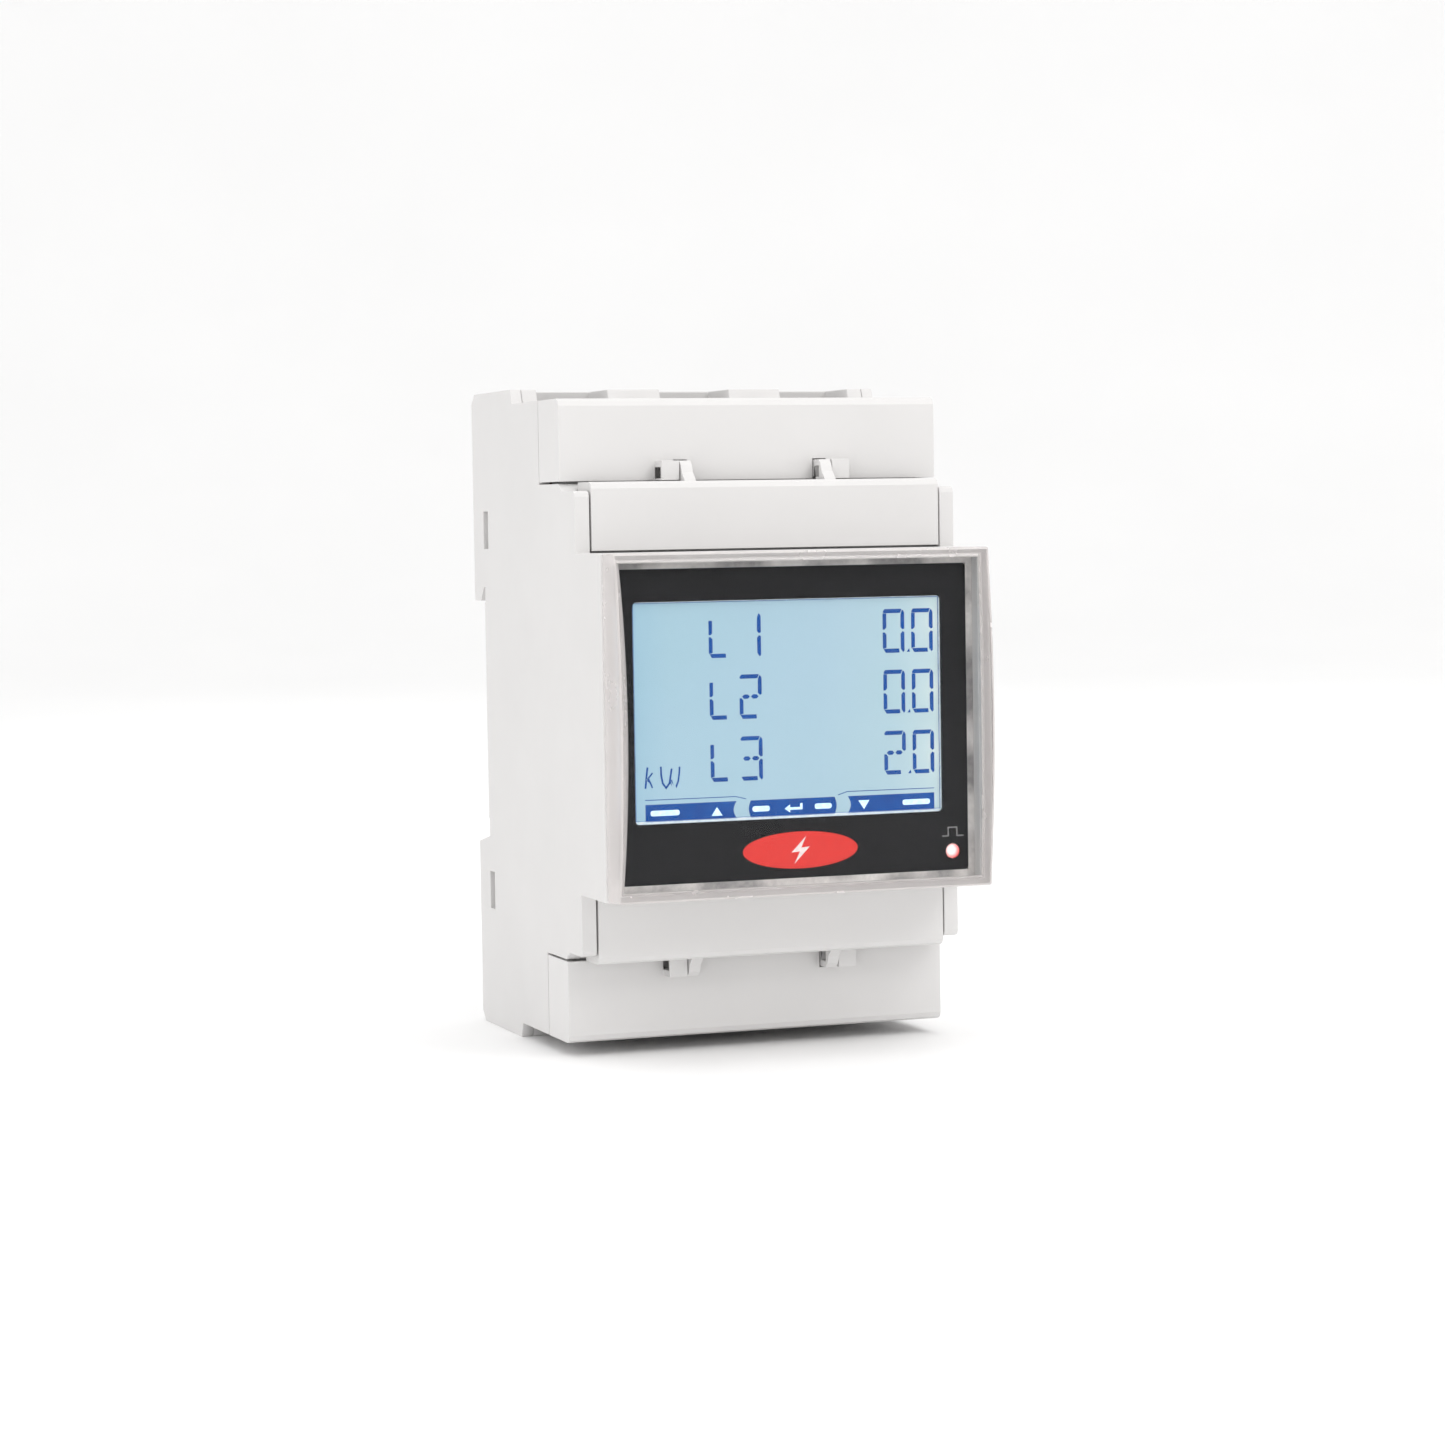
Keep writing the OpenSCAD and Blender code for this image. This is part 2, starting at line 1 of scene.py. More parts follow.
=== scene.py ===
import math
import bpy
import bmesh
from mathutils import Matrix, Vector


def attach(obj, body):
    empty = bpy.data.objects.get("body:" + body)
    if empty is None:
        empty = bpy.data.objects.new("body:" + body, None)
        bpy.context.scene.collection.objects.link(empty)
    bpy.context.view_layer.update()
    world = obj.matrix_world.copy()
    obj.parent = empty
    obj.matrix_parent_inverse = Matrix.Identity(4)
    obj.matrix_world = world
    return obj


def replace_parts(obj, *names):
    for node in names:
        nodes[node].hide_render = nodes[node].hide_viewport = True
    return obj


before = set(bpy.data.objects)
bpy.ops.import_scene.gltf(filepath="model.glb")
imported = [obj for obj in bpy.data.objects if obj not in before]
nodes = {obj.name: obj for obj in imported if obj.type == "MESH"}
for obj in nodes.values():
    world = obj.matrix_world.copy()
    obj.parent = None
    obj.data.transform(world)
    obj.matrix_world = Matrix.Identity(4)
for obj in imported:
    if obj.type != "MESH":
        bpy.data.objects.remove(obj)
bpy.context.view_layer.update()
MM = 0.001
BODY = "meter"


# ---------------------------------------------------------------- materials

def srgb(r, g, b):
    """An 8-bit display colour as a linear one."""
    def one(c):
        c /= 255
        return c / 12.92 if c <= 0.04045 else ((c + 0.055) / 1.055) ** 2.4
    return (one(r), one(g), one(b), 1.0)


class Mat:
    """A Principled material and short names for the nodes that its texture needs."""

    def __init__(self, name, color, rough=0.5, metal=0.0, **sockets):
        self.m = bpy.data.materials.new(name)
        self.m.use_nodes = True
        self.t = self.m.node_tree
        self.b = self.t.nodes["Principled BSDF"]
        self.b.inputs["Base Color"].default_value = color
        self.b.inputs["Roughness"].default_value = rough
        self.b.inputs["Metallic"].default_value = metal
        for k, v in sockets.items():
            self.b.inputs[k.replace("_", " ")].default_value = v
        self.co = self.t.nodes.new("ShaderNodeTexCoord").outputs["Object"]

    def node(self, kind, **props):
        n = self.t.nodes.new("ShaderNode" + kind)
        for k, v in props.items():
            setattr(n, k, v)
        return n

    def link(self, a, b):
        self.t.links.new(a, b)

    def coords(self, scale=(1, 1, 1), rotate=(0, 0, 0)):
        n = self.node("Mapping")
        n.inputs["Scale"].default_value = scale
        n.inputs["Rotation"].default_value = rotate
        self.link(self.co, n.inputs["Vector"])
        return n.outputs["Vector"]

    def noise(self, scale, detail=3, rough=0.5, vector=None):
        n = self.node("TexNoise")
        n.inputs["Scale"].default_value = scale
        n.inputs["Detail"].default_value = detail
        n.inputs["Roughness"].default_value = rough
        self.link(vector or self.co, n.inputs["Vector"])
        return n.outputs["Fac"]

    def ramp(self, fac, stops):
        n = self.node("ValToRGB")
        e = n.color_ramp.elements
        while len(e) < len(stops):
            e.new(0.5)
        for el, (pos, col) in zip(e, stops):
            el.position = pos
            el.color = col
        self.link(fac, n.inputs["Fac"])
        return n.outputs["Color"]

    def span(self, value, lo, hi, to_lo, to_hi):
        n = self.node("MapRange")
        for k, v in (("From Min", lo), ("From Max", hi), ("To Min", to_lo), ("To Max", to_hi)):
            n.inputs[k].default_value = v
        self.link(value, n.inputs["Value"])
        return n.outputs["Result"]

    def mix(self, fac, a, b, blend="MIX"):
        n = self.node("Mix", data_type="RGBA", blend_type=blend)
        for sock, v in ((0, fac), (6, a), (7, b)):
            if isinstance(v, (tuple, float, int)):
                n.inputs[sock].default_value = v
            else:
                self.link(v, n.inputs[sock])
        return n.outputs[2]

    def math(self, op, a, b=0.0, clamp=False):
        n = self.node("Math", operation=op, use_clamp=clamp)
        for sock, v in ((0, a), (1, b)):
            if isinstance(v, (float, int)):
                n.inputs[sock].default_value = v
            else:
                self.link(v, n.inputs[sock])
        return n.outputs[0]

    def axes(self):
        n = self.node("SeparateXYZ")
        self.link(self.co, n.inputs[0])
        return n.outputs

    def bump(self, height, strength, distance, under=None):
        n = self.node("Bump")
        n.inputs["Strength"].default_value = strength
        n.inputs["Distance"].default_value = distance
        self.link(height, n.inputs["Height"])
        if under is not None:
            self.link(under, n.inputs["Normal"])
        return n.outputs["Normal"]

    def set(self, socket, value):
        self.link(value, self.b.inputs[socket])


def shade(c, k):
    return (c[0] * k, c[1] * k, c[2] * k, 1.0)


def moulded(name, color, rough=0.5, grain=2600, depth=0.3, blotch=0.02):
    """Spark-eroded plastic: a fine grain, faint clouds in its colour and an uneven gloss."""
    m = Mat(name, color, rough, Specular_IOR_Level=0.45)
    cloud = m.noise(45, 4, 0.55)
    tones = [(0.3, shade(color, 1 - blotch)), (0.7, shade(color, 1 + blotch * 0.5))]
    m.set("Base Color", m.ramp(cloud, tones))
    fine = m.noise(grain, 3, 0.6)
    m.set("Roughness", m.span(m.noise(140, 3), 0.3, 0.7, rough - 0.05, rough + 0.06))
    wave = m.bump(m.noise(60, 2), 0.06, 0.0004)
    m.set("Normal", m.bump(fine, depth, 0.00002, wave))
    return m.m


def metal(name, color, rough, stretch=(1, 1, 30), tint=None):
    """Plated or bare metal with drawn lines and a slight cloudiness."""
    m = Mat(name, color, rough, 1.0)
    lines = m.noise(900, 4, 0.6, m.coords(stretch))
    cloud = m.noise(260, 3)
    m.set("Base Color", m.ramp(cloud, [(0.32, tint or shade(color, 0.82)), (0.68, color)]))
    m.set("Roughness", m.span(lines, 0.3, 0.7, rough - 0.08, rough + 0.12))
    m.set("Normal", m.bump(lines, 0.15, 0.00003))
    return m.m


WARM = (0.700, 0.690, 0.684, 1.0)
housing = moulded("housing", WARM, 0.5, 2600, 0.35)
cover = moulded("cover", shade(WARM, 1.01), 0.44, 2200, 0.22)
base_plastic = moulded("base", shade(WARM, 0.98), 0.52, 2400, 0.4)
clip_plastic = moulded("clip", shade(WARM, 0.99), 0.4, 2000, 0.25)
insulator = moulded("insulator", (0.050, 0.052, 0.056, 1.0), 0.55, 1800, 0.5, 0.12)
carrier = moulded("carrier", (0.62, 0.63, 0.64, 1.0), 0.4, 2000, 0.2)
chip = moulded("chip", (0.02, 0.02, 0.022, 1.0), 0.5, 3000, 0.5, 0.1)
sleeve = moulded("sleeve", (0.03, 0.04, 0.06, 1.0), 0.25, 900, 0.1, 0.1)
varistor = moulded("varistor", (0.02, 0.13, 0.42, 1.0), 0.3, 500, 0.4, 0.1)
coil_blue = moulded("coil_blue", (0.02, 0.06, 0.30, 1.0), 0.35, 1500, 0.25, 0.08)
zinc = metal("zinc", (0.62, 0.63, 0.65, 1.0), 0.3, (1, 1, 1), (0.50, 0.53, 0.58, 1.0))
clamp_steel = metal("clamp_steel", (0.66, 0.66, 0.67, 1.0), 0.34, (1, 30, 1))
clamp_brass = metal("clamp_brass", (0.72, 0.58, 0.32, 1.0), 0.32, (1, 30, 1))
tinned = metal("tinned", (0.74, 0.66, 0.58, 1.0), 0.36, (1, 1, 0.05), (0.66, 0.46, 0.34, 1.0))
contact = metal("contact", (0.80, 0.60, 0.28, 1.0), 0.28, (1, 1, 0.1))
wire_steel = metal("wire_steel", (0.50, 0.50, 0.52, 1.0), 0.3, (1, 1, 1))


def make_board():
    m = Mat("board", (0.02, 0.12, 0.05, 1.0), 0.32)
    brick = m.node("TexBrick")
    for k, v in (("Scale", 260.0), ("Mortar Size", 0.045), ("Brick Width", 1.7), ("Row Height", 0.6)):
        brick.inputs[k].default_value = v
    brick.inputs["Color1"].default_value = (0.018, 0.11, 0.045, 1)
    brick.inputs["Color2"].default_value = (0.022, 0.13, 0.055, 1)
    brick.inputs["Mortar"].default_value = (0.05, 0.22, 0.10, 1)
    m.link(m.coords((1, 1, 1), (math.pi / 2, 0, 0)), brick.inputs["Vector"])
    m.set("Base Color", brick.outputs["Color"])
    m.set("Normal", m.bump(brick.outputs["Fac"], 0.3, 0.00003))
    m.set("Roughness", m.span(m.noise(300), 0.3, 0.7, 0.25, 0.42))
    return m.m


def lamps_through(m):
    """Lets the lamps' light through to what is behind the clear plastic."""
    sheer = m.node("BsdfTransparent")
    sheer.inputs["Color"].default_value = (0.96, 0.96, 0.96, 1)
    both = m.node("MixShader")
    m.link(m.node("LightPath").outputs["Is Shadow Ray"], both.inputs[0])
    m.link(m.b.outputs[0], both.inputs[1])
    m.link(sheer.outputs[0], both.inputs[2])
    m.link(both.outputs[0], m.t.nodes["Material Output"].inputs["Surface"])
    return m.m


def make_clear():
    m = Mat("clear", (0.985, 0.988, 0.986, 1.0), 0.015, 0.0, IOR=1.49, Transmission_Weight=1.0,
            Specular_Tint=(0.18, 0.18, 0.18, 1.0))
    m.set("Roughness", m.span(m.noise(220, 4), 0.45, 0.75, 0.012, 0.04))
    m.set("Normal", m.bump(m.noise(35, 2), 0.03, 0.0002))
    return lamps_through(m)


def make_milky():
    """The cap's thick side walls, which scatter light along their length."""
    color = (0.78, 0.745, 0.735, 1.0)
    m = Mat("milky", color, 0.25, 0.0, IOR=1.49, Transmission_Weight=0.4)
    m.set("Base Color", m.ramp(m.noise(90, 3), [(0.3, shade(color, 0.93)), (0.7, color)]))
    m.set("Roughness", m.span(m.noise(220, 4), 0.3, 0.7, 0.16, 0.3))
    m.set("Normal", m.bump(m.noise(1200, 2), 0.08, 0.00002))
    return lamps_through(m)


def make_adhesive():
    """The uneven seal round the printed panel: dark and light patches along a grey band."""
    m = Mat("adhesive", (0.4, 0.4, 0.4, 1.0), 0.55)
    patch = m.noise(150, 1, 0.4)
    grain = m.noise(1500, 2)
    tone = m.ramp(patch, [(0.40, srgb(140, 137, 137)), (0.50, srgb(196, 192, 190)),
                          (0.62, srgb(232, 228, 225))])
    fleck = m.ramp(grain, [(0.35, srgb(170, 168, 168)), (0.65, srgb(236, 233, 230))])
    m.set("Base Color", m.mix(0.25, tone, fleck))
    m.set("Roughness", m.span(grain, 0.3, 0.7, 0.35, 0.7))
    m.set("Normal", m.bump(grain, 0.4, 0.00004))
    return m.m


def make_print():
    """Black screen print with a fine sparkle in it."""
    m = Mat("black_print", (0.018, 0.018, 0.020, 1.0), 0.42, Specular_IOR_Level=0.06)
    grain = m.noise(5200, 2, 0.7)
    m.set("Base Color", m.ramp(grain, [(0.42, (0.008, 0.008, 0.009, 1)), (0.60, (0.016, 0.016, 0.018, 1)),
                                       (0.74, (0.090, 0.090, 0.098, 1))]))
    m.set("Roughness", m.span(m.noise(400), 0.3, 0.7, 0.36, 0.5))
    m.set("Normal", m.bump(grain, 0.25, 0.00002))
    return m.m


def make_lcd():
    """The lit background of the display: pale blue, brighter at the right where its LEDs are."""
    m = Mat("lcd", (0.3, 0.5, 0.6, 1.0), 0.25, Specular_IOR_Level=0.06)
    x, _, z = m.axes()
    across = m.span(x, -0.0225, 0.0205, 0.0, 1.0)
    tone = m.ramp(across, [(0.0, srgb(160, 200, 220)), (0.12, srgb(170, 205, 221)),
                           (0.62, srgb(176, 207, 222)), (0.84, srgb(183, 212, 222)),
                           (1.0, srgb(205, 226, 228))])
    glow = None
    for cz, r in ((0.0125, 0.0052), (0.0035, 0.0048), (-0.0045, 0.0052)):
        dx = m.math("SUBTRACT", x, 0.0208)
        dz = m.math("SUBTRACT", z, cz)
        d = m.math("SQRT", m.math("ADD", m.math("MULTIPLY", dx, dx), m.math("MULTIPLY", dz, dz)))
        g = m.span(d, 0.0, r, 1.0, 0.0)
        glow = g if glow is None else m.math("MAXIMUM", glow, g)
    tone = m.mix(m.math("MULTIPLY", m.math("MULTIPLY", glow, glow), 0.75), tone, srgb(238, 246, 240))
    cloud = m.ramp(m.noise(70, 2), [(0.3, srgb(168, 202, 216)), (0.7, srgb(178, 205, 226))])
    tone = m.mix(0.25, tone, cloud)
    low = m.span(z, -0.0135, -0.0125, 0.5, 0.0)
    tone = m.mix(low, tone, srgb(205, 222, 232))
    m.set("Base Color", m.mix(1.0, tone, (0.30, 0.30, 0.30, 1), "MULTIPLY"))
    m.set("Emission Color", tone)
    m.b.inputs["Emission Strength"].default_value = 0.74
    m.set("Normal", m.bump(m.noise(900, 2), 0.05, 0.00002))
    return m.m


def make_segment():
    m = Mat("segment", srgb(0, 70, 150), 0.35, Specular_IOR_Level=0.06)
    tone = m.ramp(m.noise(500, 3), [(0.3, srgb(0, 68, 150)), (0.7, srgb(2, 82, 166))])
    m.set("Base Color", m.mix(1.0, tone, (0.3, 0.3, 0.3, 1), "MULTIPLY"))
    m.set("Emission Color", tone)
    m.b.inputs["Emission Strength"].default_value = 0.75
    m.set("Roughness", m.span(m.noise(700), 0.3, 0.7, 0.3, 0.45))
    return m.m


def make_light_print(name, dark, light, strength):
    m = Mat(name, dark, 0.45)
    tone = m.ramp(m.noise(1800, 3), [(0.35, dark), (0.65, light)])
    m.set("Base Color", tone)
    # the emission is the backlight on the display's marks, and painted light on the badge's red and white
    # prints
    if strength:
        m.set("Emission Color", tone)
        m.b.inputs["Emission Strength"].default_value = strength
    m.set("Normal", m.bump(m.noise(2600, 2), 0.12, 0.00001))
    return m.m


def make_pulse():
    """The pulse LED's light pipe: nearly white up and left of its middle, red towards its edge."""
    m = Mat("pulse_light", (0.9, 0.5, 0.5, 1.0), 0.2)
    x, _, z = m.axes()
    dx = m.math("SUBTRACT", x, 0.02205)
    dz = m.math("SUBTRACT", z, -0.01785)
    d = m.math("SQRT", m.math("ADD", m.math("MULTIPLY", dx, dx), m.math("MULTIPLY", dz, dz)))
    fac = m.math("ADD", m.span(d, 0.0, 0.00125, 0.0, 1.0), m.math("MULTIPLY", m.noise(1400, 2), 0.18))
    tone = m.ramp(fac, [(0.0, srgb(255, 250, 250)), (0.55, srgb(250, 226, 226)),
                        (0.80, srgb(240, 150, 148)), (1.0, srgb(214, 60, 60))])
    m.set("Base Color", m.mix(1.0, tone, (0.5, 0.5, 0.5, 1), "MULTIPLY"))
    m.set("Emission Color", tone)
    m.b.inputs["Emission Strength"].default_value = 0.8
    return m.m


def make_film():
    m = Mat("film", (0.95, 0.97, 1.0, 1.0), 0.12, 0.0, Alpha=0.012, Specular_IOR_Level=0.1)
    m.set("Roughness", m.span(m.noise(400), 0.3, 0.7, 0.08, 0.2))
    return m.m


def make_diffuser():
    m = Mat("diffuser", (0.80, 0.86, 0.89, 1.0), 0.3)
    tones = [(0.3, (0.74, 0.81, 0.85, 1)), (0.7, (0.84, 0.89, 0.91, 1))]
    m.set("Base Color", m.ramp(m.noise(600, 2), tones))
    m.set("Normal", m.bump(m.noise(1500), 0.2, 0.00002))
    return m.m


def make_floor():
    m = Mat("floor", (0.86, 0.86, 0.86, 1.0), 0.7)
    tones = [(0.3, (0.945, 0.945, 0.945, 1)), (0.7, (0.965, 0.965, 0.965, 1))]
    m.set("Base Color", m.ramp(m.noise(6, 3), tones))
    m.set("Roughness", m.span(m.noise(40), 0.3, 0.7, 0.6, 0.8))
    return m.m


board = make_board()
clear = make_clear()
milky = make_milky()
lcd = make_lcd()
segment = make_segment()
diffuser = make_diffuser()
black_print = make_print()
lit_print = make_light_print("lit_mark", srgb(176, 208, 224), srgb(196, 222, 234), 0.75)
bezel_print = make_light_print("lcd_edge", srgb(196, 212, 222), srgb(222, 234, 240), 0.45)
blue_line = make_light_print("blue_edge", srgb(20, 70, 130), srgb(46, 104, 170), 0.4)
grey_print = make_light_print("grey_print", srgb(120, 119, 120), srgb(150, 149, 150), 0.0)
# the red and white badge prints get a faint emission: painted light, as nothing lights them from behind
red_print_painted_glow = make_light_print("red_print_painted_glow", srgb(216, 36, 30), srgb(226, 46, 38), 0.12)
white_print_painted_glow = make_light_print("white_print_painted_glow", srgb(236, 214, 212), srgb(248, 232, 230), 0.10)

MATERIALS = {
    "main_housing": housing, "rear_base": base_plastic,
    "entry_frame_top": housing, "entry_frame_bottom": housing,
    "terminal_hood_top": base_plastic, "terminal_hood_bottom": base_plastic,
    "terminal_cover_top": cover, "terminal_cover_bottom": cover,
    "shoulder_panel_top": cover, "shoulder_panel_bottom": cover,
    "window": clear, "window_gasket": carrier, "panel_seal": make_adhesive(),
    "display_panel": black_print, "touch_foil": make_film(), "lcd_glass": lcd, "light_guide": diffuser,
    "backlight_leds": make_light_print("led", srgb(230, 226, 200), srgb(250, 248, 230), 0.5),
    "lcd_frame": carrier, "lcd_contacts": contact, "display_board": board, "pulse_led": diffuser,
    "led_light_pipe": make_pulse(), "power_board": board, "board_header": contact,
    "supply_capacitors": sleeve, "surge_varistors": varistor, "supply_transformer": chip,
    "meter_chips": chip,
    "terminal_block_top": insulator, "terminal_block_bottom": insulator, "aux_contacts": contact,
    "rail_clip": clip_plastic, "clip_spring": wire_steel,
}
BY_START = {"busbar": tinned, "current_coil": coil_blue, "screw_": zinc, "clamp_": clamp_steel,
            "aux_screw": zinc, "aux_clamp": clamp_brass}

for name, obj in nodes.items():
    material = MATERIALS.get(name) or next(m for k, m in BY_START.items() if name.startswith(k))
    for i in range(max(1, len(obj.material_slots))):
        if obj.material_slots:
            obj.material_slots[i].material = material
        else:
            obj.data.materials.append(material)


# ---------------------------------------------------------------- softened edges on the CAD's own pieces

def soften(obj, width, segments=2, angle=28):
    """Rounds a moulded or stamped piece's edges without touching its mesh."""
    weld = obj.modifiers.new("weld", "WELD")
    weld.merge_threshold = 2e-6
    flat = obj.modifiers.new("flat", "DECIMATE")
    flat.decimate_type = "DISSOLVE"
    flat.angle_limit = math.radians(0.25)
    edge = obj.modifiers.new("edge", "BEVEL")
    edge.width = width * MM
    edge.segments = segments
    edge.limit_method = "ANGLE"
    edge.angle_limit = math.radians(angle)
    edge.use_clamp_overlap = True
    edge.harden_normals = False


SOFT_EDGES = {
    "main_housing": 0.18, "entry_frame_top": 0.15, "entry_frame_bottom": 0.15, "rear_base": 0.12,
    "terminal_cover_top": 0.2, "terminal_cover_bottom": 0.2,
    "shoulder_panel_top": 0.14, "shoulder_panel_bottom": 0.14,
    "terminal_hood_top": 0.15, "terminal_hood_bottom": 0.15, "rail_clip": 0.15,
}
for name, width in SOFT_EDGES.items():
    soften(nodes[name], width)
for name, obj in nodes.items():
    if name.startswith(("clamp_", "aux_clamp", "screw_", "busbar")):
        soften(obj, 0.1, 1)


# ---------------------------------------------------------------- pieces drawn on the display's layers

def arc(cx, cz, r, a0, a1, n=6):
    return [(cx + r * math.cos(math.radians(a0 + (a1 - a0) * i / n)),
             cz + r * math.sin(math.radians(a0 + (a1 - a0) * i / n))) for i in range(n + 1)]


def round_rect(x0, z0, x1, z1, r, n=6):
    return (arc(x0 + r, z0 + r, r, 180, 270, n) + arc(x1 - r, z0 + r, r, 270, 360, n)
            + arc(x1 - r, z1 - r, r, 0, 90, n) + arc(x0 + r, z1 - r, r, 90, 180, n))


def oval(cx, cz, rx, rz, n=72):
    turns = [2 * math.pi * i / n for i in range(n)]
    return [(cx + rx * math.cos(a), cz + rz * math.sin(a)) for a in turns]


def stroke(points, w):
    """The outline of a line of a given width through a few points."""
    left, right = [], []
    steps = [(Vector(b) - Vector(a)).normalized() for a, b in zip(points, points[1:])]
    for i, p in enumerate(points):
        before, after = steps[max(i - 1, 0)], steps[min(i, len(steps) - 1)]
        d = (before + after).normalized()
        n = Vector((-d.y, d.x)) * (w / 2 / max(0.5, d.dot(before)))
        left.append((p[0] + n.x, p[1] + n.y))
        right.append((p[0] - n.x, p[1] - n.y))
    return left + right[::-1]


def finish_piece(name, mesh, material, smooth=False):
    mesh.materials.clear()
    mesh.materials.append(material)
    for p in mesh.polygons:
        p.use_smooth = smooth
    obj = bpy.data.objects.new(name, mesh)
    bpy.context.scene.collection.objects.link(obj)
    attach(obj, BODY)
    return obj


def plate(name, loops, front, thick, material, shift=(0, 0)):
    """Flat closed outlines in x and z, filled between them, their front that far from the rail seat."""
    curve = bpy.data.curves.new(name, "CURVE")
    curve.dimensions = "2D"
    curve.fill_mode = "BOTH"
    curve.extrude = thick * MM / 2
    for loop in loops:
        spline = curve.splines.new("POLY")
        spline.points.add(len(loop) - 1)
        for point, (x, z) in zip(spline.points, loop):
            point.co = ((x + shift[0]) * MM, (z + shift[1]) * MM, 0, 1)
        spline.use_cyclic_u = True
    holder = bpy.data.objects.new(name + "_outline", curve)
    bpy.context.scene.collection.objects.link(holder)
    depsgraph = bpy.context.evaluated_depsgraph_get()
    mesh = bpy.data.meshes.new_from_object(holder.evaluated_get(depsgraph))
    bpy.data.objects.remove(holder)
    mesh.name = name
    turn = Matrix.Translation((0, -(front - thick / 2) * MM, 0)) @ Matrix.Rotation(math.pi / 2, 4, "X")
    mesh.transform(turn)
    bm = bmesh.new()
    bm.from_mesh(mesh)
    bmesh.ops.remove_doubles(bm, verts=bm.verts, dist=1e-7)
    bmesh.ops.recalc_face_normals(bm, faces=bm.faces)
    bm.to_mesh(mesh)
    bm.free()
    return finish_piece(name, mesh, material)


PRINT_FRONT = 51.68
LCD_FRONT = 50.90
LCD = (-22.40, -12.65, 20.90, 16.05)
ON_LCD = (0.55, 0.08)
ON_PANEL = (0.45, 0.10)

# black printed panel with a rounded opening and the LED's hole
panel = plate("display_print", [
    round_rect(-24.45, -20.5, 24.45, 20.3, 0.5),
    round_rect(*LCD, 0.55),
    oval(22.25, -18.0, 1.05, 1.05, 40),
], PRINT_FRONT, 0.5, black_print)
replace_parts(panel, "display_panel")

# segments of a figure, in a cell 3.05 wide and 5.72 high
SEGMENTS = {
    "a": [(0.00, 5.40), (0.26, 5.74), (2.70, 5.74), (2.50, 5.20), (0.10, 5.20)],
    "b": [(2.56, 5.02), (2.76, 5.62), (2.94, 5.52), (3.08, 5.20), (3.08, 3.14), (2.82, 3.02), (2.54, 3.32)],
    "c": [(2.54, 2.42), (2.82, 2.78), (3.08, 2.64), (3.08, 0.20), (2.88, 0.00), (2.56, 0.46)],
    "d": [(0.08, 0.46), (0.40, -0.04), (2.36, -0.04), (2.30, 0.50), (0.30, 0.50)],
    "e": [(-0.02, 2.66), (0.26, 2.66), (0.50, 2.36), (0.50, 0.62), (-0.02, 0.50)],
    "f": [(-0.02, 5.16), (0.50, 5.16), (0.50, 3.32), (0.24, 3.04), (-0.02, 3.04)],
    "l": [(-0.02, 4.80), (0.47, 4.80), (0.47, 3.18), (0.26, 2.94), (-0.02, 2.94)],
    "g": [(0.34, 2.84), (0.60, 3.12), (1.14, 3.12), (1.40, 2.84), (1.14, 2.57), (0.60, 2.57)],
    "h": [(1.58, 2.84), (1.84, 3.12), (2.36, 3.12), (2.62, 2.84), (2.36, 2.57), (1.84, 2.57)],
}
FIGURES = {"0": "abcdef", "1": "bc", "2": "abghed", "3": "abghcd", "L": "led"}
ROWS = (8.56, 0.52, -7.56)
marks = []
for row, label, value in zip(ROWS, "123", ("00", "00", "20")):
    for figure, x in (("L", -12.24), (label, -8.08), (value[0], 12.28), (value[1], 16.37)):
        for s in FIGURES[figure]:
            marks.append([(x + u, row + v) for u, v in SEGMENTS[s]])
    marks.append([(15.66, row + 0.02), (16.12, row + 0.02), (16.02, row + 0.5)])
marks.append(stroke([(-21.30, -8.10), (-21.16, -6.8), (-20.98, -5.36)], 0.24))
marks.append(stroke([(-21.12, -7.02), (-20.74, -6.62), (-20.30, -6.10)], 0.20))
marks.append(stroke([(-20.90, -6.80), (-20.60, -7.40), (-20.34, -8.04)], 0.20))
marks.append(stroke([(-19.14, -5.32), (-19.12, -6.4), (-18.92, -7.5), (-18.46, -8.12),
                     (-17.98, -7.5), (-17.66, -5.62)], 0.24))
marks.append(stroke([(-17.74, -7.1), (-17.52, -7.9), (-17.1, -8.06), (-16.78, -7.3),
                     (-16.62, -6.2), (-16.56, -5.42)], 0.22))
marks.append(stroke([(-21.36, -9.62), (-8.85, -9.62), (-7.42, -9.98)], 0.10))
marks.append(stroke([(5.55, -10.00), (6.90, -9.60), (19.36, -9.62)], 0.10))
plate("lcd_figures", marks, LCD_FRONT + 0.035, 0.02, segment, ON_LCD)

# soft keys: blue bars with their signs left open
BAR = (-12.46, -10.22)


def bar_end(x, bow, up):
    """An end of a soft key: three points that bow outwards or inwards."""
    lo, hi = BAR
    pts = [(x + bow * math.sin(math.pi * i / 8), lo + (hi - lo) * i / 8) for i in range(9)]
    return pts if up else pts[::-1]


def pill(x0, x1, z=-11.36, h=0.72):
    return round_rect(x0, z - h / 2, x1, z + h / 2, h * 0.42, 4)


keys = [
    [(-21.34, BAR[0])] + bar_end(-8.75, -0.42, True) + [(-21.34, BAR[1])],
    bar_end(5.05, 0.30, True) + bar_end(-6.75, -0.30, False),
    [(19.38, BAR[0]), (19.38, BAR[1])] + bar_end(6.95, 0.42, False),
]
signs = [
    pill(-20.66, -16.66), [(-12.26, -12.02), (-10.72, -12.02), (-11.50, -10.88)],
    pill(-6.55, -4.12), pill(2.22, 4.62),
    [(8.44, -10.84), (10.02, -10.84), (9.24, -12.02)], pill(14.78, 18.74),
    [(-2.05, -11.50), (-1.25, -10.98), (-1.25, -11.34), (0.16, -11.34), (0.16, -10.86), (0.50, -10.86),
     (0.50, -11.68), (-1.25, -11.68), (-1.25, -12.02)],
]
plate("lcd_keys", keys, LCD_FRONT + 0.03, 0.02, segment, ON_LCD)
plate("lcd_key_signs", signs, LCD_FRONT + 0.042, 0.006, lit_print, ON_LCD)

